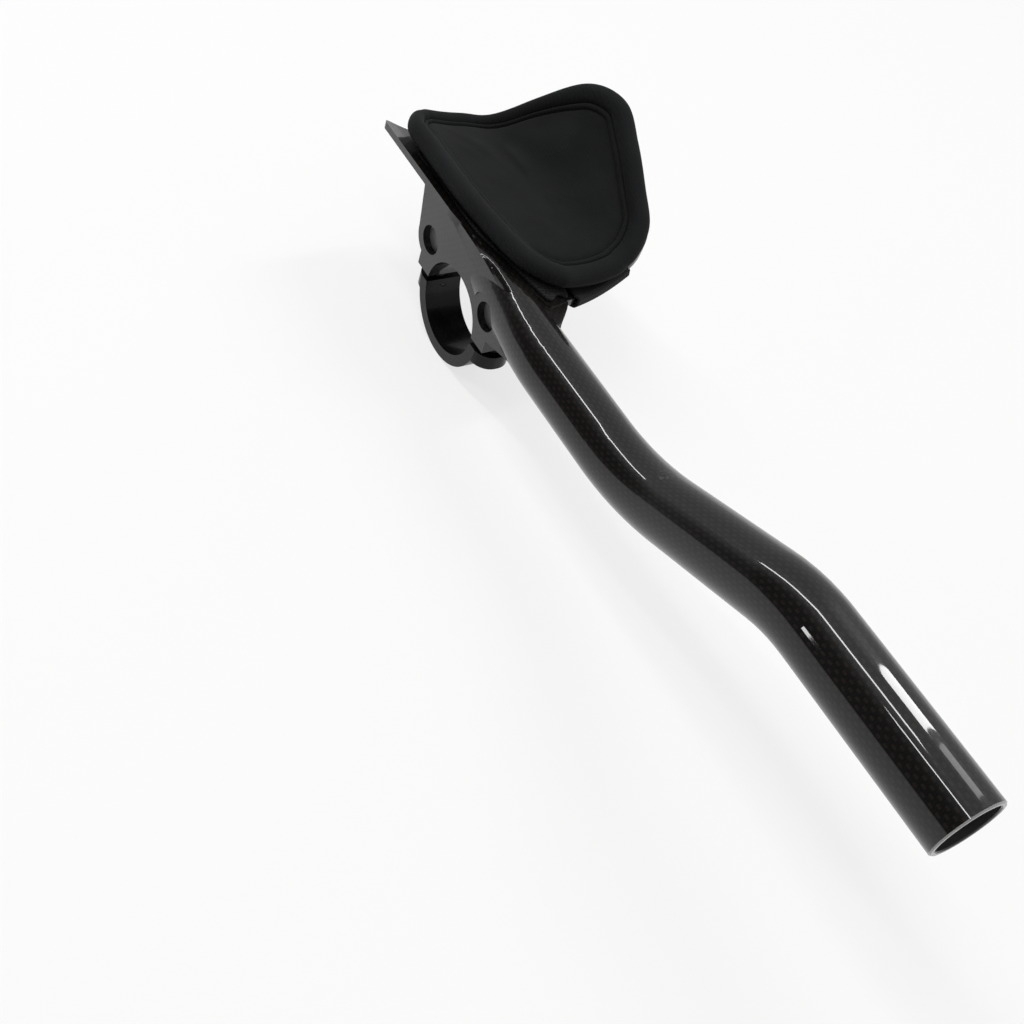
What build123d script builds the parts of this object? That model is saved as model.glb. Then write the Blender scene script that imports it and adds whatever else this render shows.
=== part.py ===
from build123d import *
import os
from math import cos, hypot, radians, sin

# Clip-on aero handlebar extension for the rider's left side, in millimetres.
# The origin is the centre of the handlebar bore, +X points forward, +Y outboard, +Z up.

# Handlebar clamp
bar_dia = 31.8
clamp_width = 14.0
ring_wall = 4.1
split_gap = 2.4
bolt_spacing = 39.6
web_rear = 31.0

# Barrel nuts across the upper clamp half
nut_dia = 10.0
nut_length = 8.8
nut_height = 14.0
nut_wall = 3.3
nut_clearance = 0.1

# Socket-head screws that draw the cap up
bolt_dia = 5.0
bolt_length = 20.0
bolt_clearance = 0.25
thread_clearance = 0.1
head_dia = 8.5
head_height = 2.8
hex_across = 4.0
hex_depth = 1.8
ear_rim = 1.0
ear_height = 5.2
ear_floor = 2.2
ear_round = 6.5
lug_wall = 1.0

# S-bent tube
tube_dia = 22.2
root_dia = 20.4
tube_wall = 1.7
tube_side = -2.8
tube_height = 20.2
tube_rise = 25.0
bend_angle = 21.0
lower_bend_radius = 95.0
upper_bend_radius = 50.0
root_start = -4.0
root_inset = 0.6
bend_start = 85.0
reach = 236.7
hollow_start = 56.0
end_chamfer = 0.4

# Forearm tray, a trough that runs fore and aft
tray_thickness = 2.4
tray_rear = -58.7
tray_nose = 34.0
tray_front = 30.5
tray_inner = -10.5
tray_outer = 59.0
tray_front_outer = 54.0
valley_side = 24.0
valley_rear_height = 27.0
valley_front_height = 25.0
inner_rear_height = 36.2
inner_front_height = 35.5
outer_rear_height = 60.5
outer_front_height = 39.4
rear_outer_corner = -45.0
front_outer_corner = 21.0
nose_side = 5.2
hollow_side = 15.0
inner_bend = -6.0
rear_inner_round = 2.0
inner_bend_round = 20.0
nose_round = 2.0
hollow_round = 15.0
front_outer_round = 14.0
rear_outer_round = 12.0
sheet_margin = 4.0
neck_start = -12.0
neck_taper_start = 24.5
neck_end = 54.0
neck_spread = 18.0
neck_share = 0.8
neck_sink = 0.4
neck_roll = 12.0
neck_crest_angle = 45.0
relief_margin = 1.0

# Soft layers on the tray
layer_gap = 0.2
patch_thickness = 1.0
base_thickness = 0.8
pad_thickness = 6.4
patch_margin = 5.0
patch_rim = 1.2
patch_round = 4.0
patch_nose_round = 1.5
patch_strap_gap = 2.0
base_margin = 4.0
base_roll = 0.1
pad_rear = -62.0
pad_front = 31.0
pad_inner = -9.5
pad_outer = 63.5
pad_roll = 2.2
seam_inset = 7.1
seam_half_width = 3.2
seam_depth = 1.6

# Webbing strap that holds the pad down
strap_width = 25.0
strap_thickness = 1.0
strap_gap = 0.5
strap_front_side = 31.0
strap_rear_side = 38.0
strap_leg = 7.0

# Sizes that follow from those above
bar_r = bar_dia / 2
ring_r = bar_r + ring_wall
half_width = clamp_width / 2
bolt_x = bolt_spacing / 2
nut_hole_r = nut_dia / 2 + nut_clearance
boss_r = nut_hole_r + nut_wall
ear_r = head_dia / 2 + ear_rim
ear_bottom = -split_gap / 2 - ear_height
head_seat = -split_gap / 2 - ear_floor
root_r = root_dia / 2
tube_r = tube_dia / 2
tip_height = tube_height + tube_rise
lug_r = bolt_dia / 2 + bolt_clearance + lug_wall
above_all = 2 * outer_rear_height
half_space = 2 * (ring_r + bolt_spacing)

os.makedirs("parts", exist_ok=True)


def ease(value, start, end):
    # Smooth step from 0 at start to 1 at end.
    share = min(max((value - start) / (end - start), 0.0), 1.0)
    return share * share * (3 - 2 * share)


def between(first, last, share):
    return first + (last - first) * share


def tray_heights(x):
    # Heights of the trough's inner edge, valley and outer edge at a place along it.
    share = (x - tray_rear) / (tray_nose - tray_rear)
    inner = between(inner_rear_height, inner_front_height, share)
    valley = between(valley_rear_height, valley_front_height, share)
    outer = between(outer_rear_height, outer_front_height, share)
    return inner, valley, outer


def tray_point(x, y, lift=0.0):
    # A point of the trough's section, lifted square to its top face.
    inner, valley, outer = tray_heights(x)
    if y > valley_side:
        rim, rim_height = tray_outer, outer
    else:
        rim, rim_height = tray_inner, inner
    span = rim - valley_side
    off = y - valley_side
    height = valley + (rim_height - valley) * (off / span) ** 2
    slope = 2 * (rim_height - valley) * off / span**2
    size = hypot(1.0, slope)
    return (y - lift * slope / size, height + lift / size)


def tray_stretch(x, y):
    # Length over the trough for each length across it, at a place near a side edge.
    step = tray_thickness / 2
    before = tray_point(x, y - step)
    after = tray_point(x, y + step)
    return hypot(after[0] - before[0], after[1] - before[1]) / (2 * step)


def trough_layer(low, high, outline):
    # A sheet that follows the trough between two lifts, trimmed to an outline seen from above.
    steps = 8
    inner = tray_inner - sheet_margin
    sides = [between(inner, tray_outer, step / steps) for step in range(steps + 1)]
    ends = (tray_rear - sheet_margin, tray_nose + sheet_margin)
    with BuildPart() as layer:
        for share in (0.0, 0.5, 1.0):
            x = between(ends[0], ends[1], share)
            with BuildSketch(Plane.YZ.offset(x)):
                with BuildLine():
                    upper = Spline(*[tray_point(x, y, high) for y in sides])
                    lower = Spline(*[tray_point(x, y, low) for y in sides])
                    Line(upper @ 0, lower @ 0)
                    Line(upper @ 1, lower @ 1)
                make_face()
        loft()
        extrude(outline, amount=above_all, mode=Mode.INTERSECT)
    return layer.part


def rounded_outline(corners, radii):
    # A flat outline with a radius at each corner, seen from above.
    with BuildSketch(Plane.XY) as outline:
        with BuildLine():
            Polyline(*corners, close=True)
        make_face()
        for corner, radius in zip(corners, radii):
            spot = outline.vertices().sort_by_distance((corner[0], corner[1], 0.0))[0]
            fillet(spot, radius)
    return outline.sketch


def root_section(x):
    # Side and half width of the tube's root, which swells out of the clamp plate to the round tube.
    share = ease(x, root_start, neck_end)
    return tube_side * share, between(half_width - root_inset, root_r, share)


def tube_root(grow):
    # The root as a solid, made larger all round by grow.
    steps = 6
    with BuildPart() as root:
        for step in range(steps + 1):
            x = between(root_start, neck_end, step / steps)
            side, width = root_section(x)
            with BuildSketch(Plane.YZ.offset(x)):
                with Locations((side, tube_height)):
                    Ellipse(width + grow, root_r + grow)
        loft()
    return root.part


def tube_run(shrink, start, end):
    # The S-bent tube as a solid, made smaller all round by shrink.
    slope = radians(bend_angle)
    bends = lower_bend_radius + upper_bend_radius
    ramp = (tube_rise - bends * (1 - cos(slope))) / sin(slope)
    low = (
        bend_start + lower_bend_radius * sin(slope),
        tube_height + lower_bend_radius * (1 - cos(slope)),
    )
    high = (low[0] + ramp * cos(slope), low[1] + ramp * sin(slope))
    bend_end = high[0] + upper_bend_radius * sin(slope)
    with BuildPart() as run:
        with BuildSketch(Plane.YZ.offset(start)) as root:
            with Locations((tube_side, tube_height)):
                Circle(root_r - shrink)
        extrude(root.sketch, amount=bend_start - start)
        with BuildLine(Plane.XZ.offset(-tube_side)) as path:
            JernArc((bend_start, tube_height), (1, 0), lower_bend_radius, bend_angle)
            Line(low, high)
            JernArc(high, (cos(slope), sin(slope)), upper_bend_radius, -bend_angle)
        with BuildSketch(Plane.YZ.offset(bend_start)) as first:
            with Locations((tube_side, tube_height)):
                Circle(root_r - shrink)
        with BuildSketch(Plane.YZ.offset(bend_end)) as last:
            with Locations((tube_side, tip_height)):
                Circle(tube_r - shrink)
        sweep([first.sketch, last.sketch], path=path.line, multisection=True)
        extrude(last.sketch, amount=end - bend_end)
    return run.part


def neck_outline(x):
    # Points of the neck's section: buried in the tray at the rear, drawn in to the tube at the front.
    steps = 6
    side, width = root_section(x)
    core = neck_share * root_r
    inner = tray_inner + tray_thickness / 2
    outer = between(neck_spread, tube_side + core / 2, ease(x, neck_taper_start, neck_end))
    low_share = ease(x, neck_start, bolt_x + boss_r)
    run = hypot(tray_nose - inner_bend, nose_side - tray_inner)
    across = (nose_side - tray_inner) / run
    along = (tray_nose - inner_bend) / run
    upper = []
    lower = []
    for step in range(steps + 1):
        share = step / steps
        y = between(inner, outer, share)
        past_edge = (x - inner_bend) * across - (y - tray_inner) * along
        top_share = max(ease(past_edge, 0.0, neck_roll), ease(x, tray_front, neck_end))
        angle = radians(between(90 + neck_crest_angle, 90 - neck_crest_angle, share))
        ring = (side + neck_share * width * cos(angle), tube_height + core * sin(angle))
        under = (ring[0], 2 * tube_height - ring[1])
        sheet = tray_point(x, y, -neck_sink)
        floor = tray_point(x, y, -tray_thickness + neck_sink)
        upper.append(tuple(between(a, b, top_share) for a, b in zip(sheet, ring)))
        lower.append(tuple(between(a, b, low_share) for a, b in zip(floor, under)))
    return upper, lower


def bolt_places():
    return [(-bolt_x, 0.0), (bolt_x, 0.0)]


# Tray sheet
tray_corners = [
    (tray_rear, tray_inner),
    (inner_bend, tray_inner),
    (tray_nose, nose_side),
    (tray_front, hollow_side),
    (front_outer_corner, tray_front_outer),
    (rear_outer_corner, tray_outer),
]
tray_rounds = [
    rear_inner_round,
    inner_bend_round,
    nose_round,
    hollow_round,
    front_outer_round,
    rear_outer_round,
]
tray_outline = rounded_outline(tray_corners, tray_rounds)
tray_sheet = trough_layer(-tray_thickness, 0.0, tray_outline)

# Neck that draws the tray in to the tube
neck_steps = 7
with BuildPart() as neck:
    for step in range(neck_steps + 1):
        station = between(neck_start, neck_end, step / neck_steps)
        upper_points, lower_points = neck_outline(station)
        with BuildSketch(Plane.YZ.offset(station)):
            with BuildLine():
                crest = Spline(*upper_points)
                belly = Spline(*lower_points)
                Line(crest @ 0, belly @ 0)
                Line(crest @ 1, belly @ 1)
            make_face()
    loft()

# Upper clamp half, a plate between the tray and the handlebar
web_top = [
    Vector(x, *tray_point(x, y, -tray_thickness / 2))
    for x, y in ((-web_rear, -half_width), (-web_rear, half_width), (bolt_x, -half_width))
]
web_slope = Plane(
    origin=web_top[0],
    x_dir=web_top[2] - web_top[0],
    z_dir=(web_top[2] - web_top[0]).cross(web_top[1] - web_top[0]),
)
with BuildPart() as web:
    with BuildSketch(Plane.XZ):
        Circle(ring_r)
        with Locations((-bolt_x, nut_height), (bolt_x, nut_height)):
            Circle(boss_r)
        with BuildLine():
            Polyline(
                (-bolt_x - boss_r, nut_height),
                (-web_rear, tube_height + root_r),
                (-web_rear, outer_rear_height),
                (inner_bend, outer_rear_height),
                (inner_bend, tube_height + root_r),
                (bolt_x + boss_r, nut_height),
                close=True,
            )
        make_face()
        with Locations((0, nut_height / 2)):
            Rectangle(2 * (bolt_x + lug_r), nut_height)
        with Locations((0, split_gap / 2 - half_space / 2)):
            Rectangle(half_space, half_space, mode=Mode.SUBTRACT)
    extrude(amount=half_width, both=True)
    split(bisect_by=web_slope, keep=Keep.BOTTOM)
    with BuildSketch(Plane.XZ.offset(half_width)) as fairing:
        with BuildLine():
            Polyline(
                (bolt_x, nut_height - boss_r),
                (bolt_x + 2 * boss_r, tube_height - root_r),
                (bolt_x + 2 * boss_r, tube_height),
                (bolt_x, tube_height),
                close=True,
            )
        make_face()
    extrude(fairing.sketch, amount=-2 * (half_width + tube_side))

# Carbon moulding: tube, tray and upper clamp half in one piece
with BuildPart() as extension_body:
    add(tube_root(0.0))
    add(tube_run(0.0, neck_end, reach))
    add(neck.part)
    for face in (-1, 1):
        depth = face * tube_side + root_r + relief_margin
        with BuildSketch(Plane.XZ.offset(-face * half_width)) as side_relief:
            Circle(ring_r)
            with Locations((bolt_x, nut_height)):
                Circle(boss_r)
        extrude(side_relief.sketch, amount=-face * (depth - half_width), mode=Mode.SUBTRACT)
    add(web.part)
    add(tray_sheet)
    with BuildSketch(Plane.XZ) as through:
        Circle(bar_r)
        with Locations((-bolt_x, nut_height), (bolt_x, nut_height)):
            Circle(nut_hole_r)
    extrude(through.sketch, amount=half_width + root_r, both=True, mode=Mode.SUBTRACT)
    with BuildSketch(Plane.XY) as drill:
        with Locations(*bolt_places()):
            Circle(bolt_dia / 2 + bolt_clearance)
    extrude(drill.sketch, amount=head_seat + bolt_length + nut_clearance, mode=Mode.SUBTRACT)
    add(tube_run(tube_wall, hollow_start, reach + tube_wall), mode=Mode.SUBTRACT)
    chamfer(extension_body.edges().group_by(Axis.X)[-1], end_chamfer)
extension_body.part.label = "extension_body"
export_step(extension_body.part, "parts/extension_body.step")

# Lower clamp half with a boss under each screw
with BuildPart() as clamp_cap:
    with BuildSketch(Plane.XZ):
        Circle(ring_r)
        with Locations((0, half_space / 2 - split_gap / 2)):
            Rectangle(half_space, half_space, mode=Mode.SUBTRACT)
    extrude(amount=half_width, both=True)
    with BuildSketch(Plane.XY.offset(ear_bottom)) as ears:
        Rectangle(2 * (bolt_x + ear_r), clamp_width)
        fillet(ears.vertices(), ear_round)
    extrude(amount=ear_height)
    with BuildSketch(Plane.XZ) as cap_bore:
        Circle(bar_r)
    extrude(cap_bore.sketch, amount=clamp_width, both=True, mode=Mode.SUBTRACT)
    with BuildSketch(Plane.XY.offset(ear_bottom)) as cap_drill:
        with Locations(*bolt_places()):
            Circle(bolt_dia / 2 + bolt_clearance)
    extrude(cap_drill.sketch, amount=ear_height, mode=Mode.SUBTRACT)
    with BuildSketch(Plane.XY.offset(head_seat)) as head_seats:
        with Locations(*bolt_places()):
            Circle(head_dia / 2 + bolt_clearance)
    extrude(head_seats.sketch, amount=-ring_r, mode=Mode.SUBTRACT)
clamp_cap.part.label = "clamp_cap"
export_step(clamp_cap.part, "parts/clamp_cap.step")

# Two socket-head screws, put in from below
with BuildPart() as clamp_bolts:
    with BuildSketch(Plane.XY.offset(head_seat - head_height)) as heads:
        with Locations(*bolt_places()):
            Circle(head_dia / 2)
    extrude(heads.sketch, amount=head_height)
    with BuildSketch(Plane.XY.offset(head_seat)) as shanks:
        with Locations(*bolt_places()):
            Circle(bolt_dia / 2)
    extrude(shanks.sketch, amount=bolt_length)
    with BuildSketch(Plane.XY.offset(head_seat - head_height)) as sockets:
        with Locations(*bolt_places()):
            RegularPolygon(hex_across / 2, 6, major_radius=False)
    extrude(sockets.sketch, amount=hex_depth, mode=Mode.SUBTRACT)
clamp_bolts.part.label = "clamp_bolts"
export_step(clamp_bolts.part, "parts/clamp_bolts.step")

# Two barrel nuts, cross-drilled for the screws
with BuildPart() as barrel_nuts:
    with BuildSketch(Plane.XZ):
        with Locations((-bolt_x, nut_height), (bolt_x, nut_height)):
            Circle(nut_dia / 2)
    extrude(amount=nut_length / 2, both=True)
    with BuildSketch(Plane.XY) as nut_drill:
        with Locations(*bolt_places()):
            Circle(bolt_dia / 2 + thread_clearance)
    extrude(nut_drill.sketch, amount=nut_height + nut_dia, mode=Mode.SUBTRACT)
barrel_nuts.part.label = "barrel_nuts"
export_step(barrel_nuts.part, "parts/barrel_nuts.step")

# Levels of the soft layers above the tray's top face
patch_low = layer_gap
base_low = patch_low + patch_thickness + layer_gap
pad_low = base_low + base_thickness + layer_gap
pad_high = pad_low + pad_thickness
tube_relief = tube_root(layer_gap)

# Hook side of the fastening, stuck along the inner half of the trough
patch_outer = strap_front_side - strap_width / 2 - patch_strap_gap
neck_slope = (nose_side - tray_inner) / (tray_nose - inner_bend)
patch_corners = [
    (tray_rear + 3 * patch_margin, tray_inner + patch_margin),
    (inner_bend + (patch_margin - patch_rim) / neck_slope, tray_inner + patch_margin),
    (tray_nose - 2 * patch_rim, nose_side + patch_rim),
    (tray_front - 2 * patch_rim, patch_outer),
    (tray_rear + 3 * patch_margin, patch_outer),
]
patch_bend_round = inner_bend_round - patch_margin
patch_rounds = [patch_round, patch_bend_round, patch_nose_round, patch_round, patch_round]
patch_outline = rounded_outline(patch_corners, patch_rounds)
with BuildPart() as hook_patch:
    add(trough_layer(patch_low, patch_low + patch_thickness, patch_outline))
    add(tube_relief, mode=Mode.SUBTRACT)
hook_patch.part.label = "hook_patch"
export_step(hook_patch.part, "parts/hook_patch.step")

# Sewn pad and its loop-faced backing, each lofted along the trough
# Each station: share of the pad's length, shares of its width at both sides, share of its thickness.
seam_share = seam_inset / (pad_front - pad_rear - 2 * pad_roll)
pad_stations = [
    (0.0, 0.185, 0.377, 0.4),
    (0.015, 0.13, 0.47, 0.8),
    (0.043, 0.075, 0.57, 0.97),
    (seam_share, 0.04, 0.69, 1.0),
    (0.129, 0.015, 0.79, 1.0),
    (0.258, 0.0, 0.94, 1.0),
    (0.43, 0.0, 1.0, 1.0),
    (0.59, 0.01, 0.975, 1.0),
    (0.753, 0.05, 0.925, 1.0),
    (0.882, 0.11, 0.87, 1.0),
    (1 - seam_share, 0.15, 0.835, 1.0),
    (0.957, 0.21, 0.775, 0.97),
    (0.985, 0.28, 0.69, 0.8),
    (1.0, 0.335, 0.61, 0.4),
]


def pad_layer(low, high, inset, roll, sewn):
    # A layer of the pad between two lifts, drawn in by inset, its sides rolled out by roll.
    # A seam sinks its top by sewn, all round at seam_inset from the edge.
    middle = (low + high) / 2
    start = pad_rear + inset
    end = pad_front - inset
    near = seam_inset - seam_half_width
    past = seam_inset + seam_half_width
    depths = [0.0, near, seam_inset, past, 2 * past, 2 * past, 2 * past, past, seam_inset, near, 0.0]
    with BuildPart() as layer:
        for length_share, inner_share, outer_share, height_share in pad_stations:
            x = between(start, end, length_share)
            inner = between(pad_inner, pad_outer, inner_share) + inset
            outer = between(pad_inner, pad_outer, outer_share) - inset
            quarter = (outer - inner) / 4
            inner_step = min(1 / tray_stretch(x, inner), quarter / past)
            outer_step = min(1 / tray_stretch(x, outer), quarter / past)
            inner_panel = inner + past * inner_step
            outer_panel = outer - past * outer_step
            sides = [inner + depth * inner_step for depth in depths[:4]]
            sides += [between(inner_panel, outer_panel, share) for share in (0.25, 0.5, 0.75)]
            sides += [outer - depth * outer_step for depth in depths[-4:]]
            half = height_share * (high - low) / 2
            upper_points = []
            for y, depth in zip(sides, depths):
                off_seam = abs(min(depth, x - start, end - x) - seam_inset)
                sink = sewn * max(0.0, 1 - off_seam / seam_half_width)
                upper_points.append(tray_point(x, y, middle + half - sink))
            with BuildSketch(Plane.YZ.offset(x)):
                with BuildLine():
                    upper = Spline(*upper_points)
                    lower = Spline(*[tray_point(x, y, middle - half) for y in sides])
                    ThreePointArc(upper @ 0, tray_point(x, inner - roll, middle), lower @ 0)
                    ThreePointArc(upper @ 1, tray_point(x, outer + roll, middle), lower @ 1)
                make_face()
        loft()
    return layer.part


with BuildPart() as pad_base:
    add(pad_layer(base_low, base_low + base_thickness, base_margin, base_roll, 0.0))
pad_base.part.label = "pad_base"
export_step(pad_base.part, "parts/pad_base.step")
with BuildPart() as arm_pad:
    add(pad_layer(pad_low, pad_high, pad_roll, pad_roll, seam_depth))
arm_pad.part.label = "arm_pad"
export_step(arm_pad.part, "parts/arm_pad.step")


def strap_strip(grow, half):
    # The strap seen from above, carried past the tray's front and rear edges by grow.
    corners = []
    for sign in (-1, 1):
        y = strap_front_side + sign * half
        share = (y - hollow_side) / (tray_front_outer - hollow_side)
        corners.append((between(tray_front, front_outer_corner, share) + grow, y))
    for sign in (1, -1):
        y = strap_rear_side + sign * half
        share = (y - tray_inner) / (tray_outer - tray_inner)
        corners.append((between(tray_rear, rear_outer_corner, share) - grow, y))
    with BuildSketch(Plane.XY) as strip:
        with BuildLine():
            Polyline(*corners, close=True)
        make_face()
    return strip.sketch


# Webbing strap round the tray, with a short leg under each end of the pad
strap_wrap = strap_strip(strap_gap + strap_thickness, strap_width / 2)
strap_core = strap_strip(strap_gap, strap_width)
strap_window = strap_strip(-strap_leg, strap_width)
strap_low = -tray_thickness - strap_gap
with BuildPart() as pad_strap:
    add(trough_layer(strap_low - strap_thickness, layer_gap + strap_thickness, strap_wrap))
    add(trough_layer(strap_low, layer_gap, strap_core), mode=Mode.SUBTRACT)
    add(trough_layer(-tray_thickness, tray_thickness, strap_window), mode=Mode.SUBTRACT)
pad_strap.part.label = "pad_strap"
export_step(pad_strap.part, "parts/pad_strap.step")
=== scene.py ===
import math

import bpy
import numpy as np
from mathutils import Euler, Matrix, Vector


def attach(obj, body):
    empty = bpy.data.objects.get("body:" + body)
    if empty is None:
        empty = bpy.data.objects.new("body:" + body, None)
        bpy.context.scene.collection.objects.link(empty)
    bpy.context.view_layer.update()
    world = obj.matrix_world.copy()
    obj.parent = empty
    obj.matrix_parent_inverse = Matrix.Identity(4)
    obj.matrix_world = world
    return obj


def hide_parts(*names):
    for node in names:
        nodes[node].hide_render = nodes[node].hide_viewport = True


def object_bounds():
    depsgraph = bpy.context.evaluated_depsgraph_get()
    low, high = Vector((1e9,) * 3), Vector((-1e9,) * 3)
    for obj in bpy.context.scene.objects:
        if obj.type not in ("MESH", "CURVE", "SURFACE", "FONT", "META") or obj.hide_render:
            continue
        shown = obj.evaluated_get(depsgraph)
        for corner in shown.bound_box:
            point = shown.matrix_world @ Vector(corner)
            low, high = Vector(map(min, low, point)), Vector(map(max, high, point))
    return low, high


# Carbon handlebar extension with a sewn forearm pad, in metres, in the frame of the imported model.
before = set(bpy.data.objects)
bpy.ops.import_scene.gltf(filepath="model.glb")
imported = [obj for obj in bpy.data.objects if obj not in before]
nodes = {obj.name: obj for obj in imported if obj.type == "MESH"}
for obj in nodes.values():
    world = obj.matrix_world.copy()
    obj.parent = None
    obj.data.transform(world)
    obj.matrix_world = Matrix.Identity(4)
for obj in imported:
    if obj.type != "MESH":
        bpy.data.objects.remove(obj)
cad_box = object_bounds()
mm = 0.001

# Lengths below are in millimetres unless they are multiplied by mm.

# Tube of the model: ends of its S-bend, heights and side of its centre line, start, sawn end and bore
tube_bend = (85.0, 177.0)
tube_heights = (20.2, 45.2)
tube_side = -2.8
tube_start = 48.0
sawn_from = 236.25
bore_reach = 9.7

# Trough of the forearm tray, as the model has it
tray_rear, tray_nose = -58.7, 34.0
tray_inner, tray_outer = -10.5, 59.0
valley_side = 24.0
valley_heights = (27.0, 25.0)
inner_heights = (36.2, 35.5)
outer_heights = (60.5, 39.4)

# Lifts of the soft layers above the tray's top face
patch_lifts = (0.2, 1.2)
backing_lifts = (1.4, 2.2)
pad_lifts = (2.4, 8.8)

# Webbing strap: its middle at the front and rear edges, its width in plan and half its thickness
strap_sides = (31.0, 38.0)
strap_width = 25.0
strap_half = 0.44
# Lifts of its legs and of its run under the tray, and length of a leg
strap_lifts = (0.7, -3.4)
strap_leg = 7.0
# Turn round an edge: how far in it starts, how far past the edge it stands, how far its selvedges draw
# in there, and how fast that dies away toward the middle
turn_start = 0.8
strap_past = 1.0
turn_draw = 1.6
draw_power = 6
# Selvedge: distances in from the edge and shares of the thickness there, and where the flat part starts
selvedge = ((0.0, 0.0), (0.15, 0.65), (0.5, 1.0))
flat_start = 1.5
weft_pitch = 1.4
weft_relief = 0.06

# Tray edges under the strap: side and place along the tray at two points of each
front_points = ((15.0, 30.5), (54.0, 21.0))
rear_points = ((tray_inner, tray_rear), (tray_outer, -45.0))

# Plan of the pad: place along the tray, inner side and outer side
pad_plan = [
    (-59.8, 4.0, 18.0),
    (-58.5, 0.0, 24.8),
    (-56.0, -4.0, 32.1),
    (-48.4, -8.4, 48.2),
    (-36.9, -9.5, 59.1),
    (-21.7, -9.5, 63.5),
    (-7.5, -8.8, 61.7),
    (6.9, -5.9, 58.0),
    (18.4, -1.5, 54.0),
    (25.0, 5.8, 47.1),
    (27.5, 10.9, 40.9),
    (28.8, 15.0, 35.0),
]


def linear(code):
    # Turns an sRGB hex colour into the linear values that the shaders take.
    parts = [int(code[place : place + 2], 16) / 255 for place in (1, 3, 5)]
    made = [part / 12.92 if part <= 0.04045 else ((part + 0.055) / 1.055) ** 2.4 for part in parts]
    return (*made, 1.0)


def add_node(tree, kind, inputs=(), **settings):
    # Adds a node, sets its options and fills its inputs from values or from other nodes' outputs.
    made = tree.nodes.new(kind)
    for name, value in settings.items():
        setattr(made, name, value)
    for place, value in dict(inputs).items():
        if isinstance(value, bpy.types.NodeSocket):
            tree.links.new(value, made.inputs[place])
        else:
            made.inputs[place].default_value = value
    return made


def start_material(name):
    # An empty node material.
    material = bpy.data.materials.new(name)
    material.use_nodes = True
    material.node_tree.nodes.clear()
    return material, material.node_tree


def finish_material(tree, shader):
    # Joins the shader to the material's output.
    out = add_node(tree, "ShaderNodeOutputMaterial")
    tree.links.new(shader.outputs[0], out.inputs["Surface"])


def wave_scale(pitch):
    # Scale of the wave texture whose bands lie a pitch apart.
    return math.tau / (20 * pitch)


# Materials


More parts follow.
